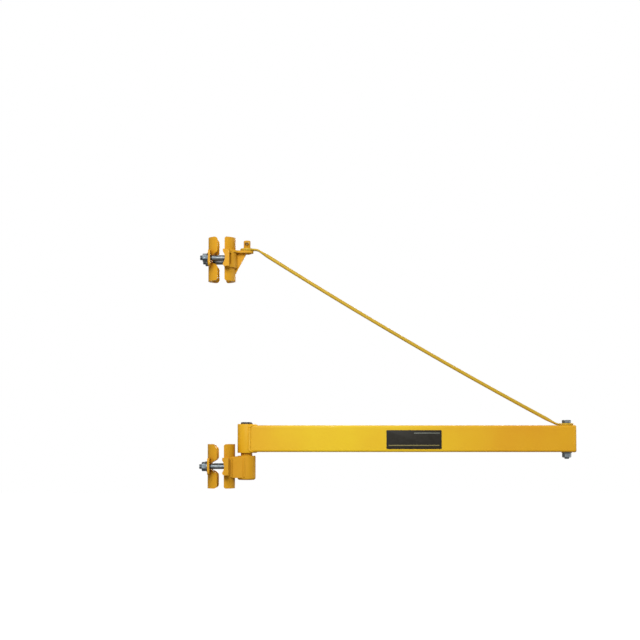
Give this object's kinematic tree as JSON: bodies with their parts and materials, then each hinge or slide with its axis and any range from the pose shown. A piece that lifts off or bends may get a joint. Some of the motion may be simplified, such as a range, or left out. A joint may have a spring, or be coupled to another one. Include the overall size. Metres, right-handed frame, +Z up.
{
  "type": "hoist swing arm",
  "caption": "Swing arm that hangs a small hoist beside a scaffold tube: a boom on a pivot pin, held by a tie rod and carried by an upper and a lower post clamp.",
  "frame": {"origin": "on the axis of the upright tube that the clamps hold, at mid-height of the lower clamp", "axes": "+Z up along the upright tube, +X along the boom at rest, -Y towards the side shown in the picture"},
  "size_m": [0.8765, 0.101, 0.588],
  "materials": {
    "boom_yellow": "satin signal yellow paint",
    "bracket_yellow": "satin golden yellow paint",
    "zinc_steel": "blue zinc plating",
    "black_cap": "matt black plastic"
  },
  "bodies": {
    "clamps": {"lower_front_saddle": "bracket_yellow", "lower_rear_saddle": "bracket_yellow", "lower_lug_near": "bracket_yellow", "lower_lug_far": "bracket_yellow", "lower_stud_near": "zinc_steel", "lower_stud_far": "zinc_steel", "lower_washer_near": "zinc_steel", "lower_washer_far": "zinc_steel", "lower_nut_near": "zinc_steel", "lower_nut_far": "zinc_steel", "pivot_socket": "bracket_yellow", "socket_cheek_near": "bracket_yellow", "socket_cheek_far": "bracket_yellow", "upper_front_saddle": "bracket_yellow", "upper_rear_saddle": "bracket_yellow", "upper_lug_near": "bracket_yellow", "upper_lug_far": "bracket_yellow", "upper_stud_near": "zinc_steel", "upper_stud_far": "zinc_steel", "upper_washer_near": "zinc_steel", "upper_washer_far": "zinc_steel", "upper_nut_near": "zinc_steel", "upper_nut_far": "zinc_steel", "tie_flange": "bracket_yellow", "tie_gusset": "bracket_yellow", "tie_pin": "bracket_yellow", "split_pin": "zinc_steel"},
    "boom": {"pivot_sleeve": "boom_yellow", "pivot_pin": "boom_yellow", "pin_cap": "black_cap", "boom_tube": "boom_yellow", "boom_end_plate": "boom_yellow", "tie_rod": "boom_yellow", "end_bolt": "zinc_steel", "end_washer": "zinc_steel", "end_nut": "zinc_steel"}
  },
  "joints": [
    {"name": "boom_swing", "type": "hinge", "parent": "clamps", "child": "boom", "pos_m": [0.059, 0, 0.06425], "axis": [0, 0, 1], "range_deg": [-90, 90]}
  ]
}
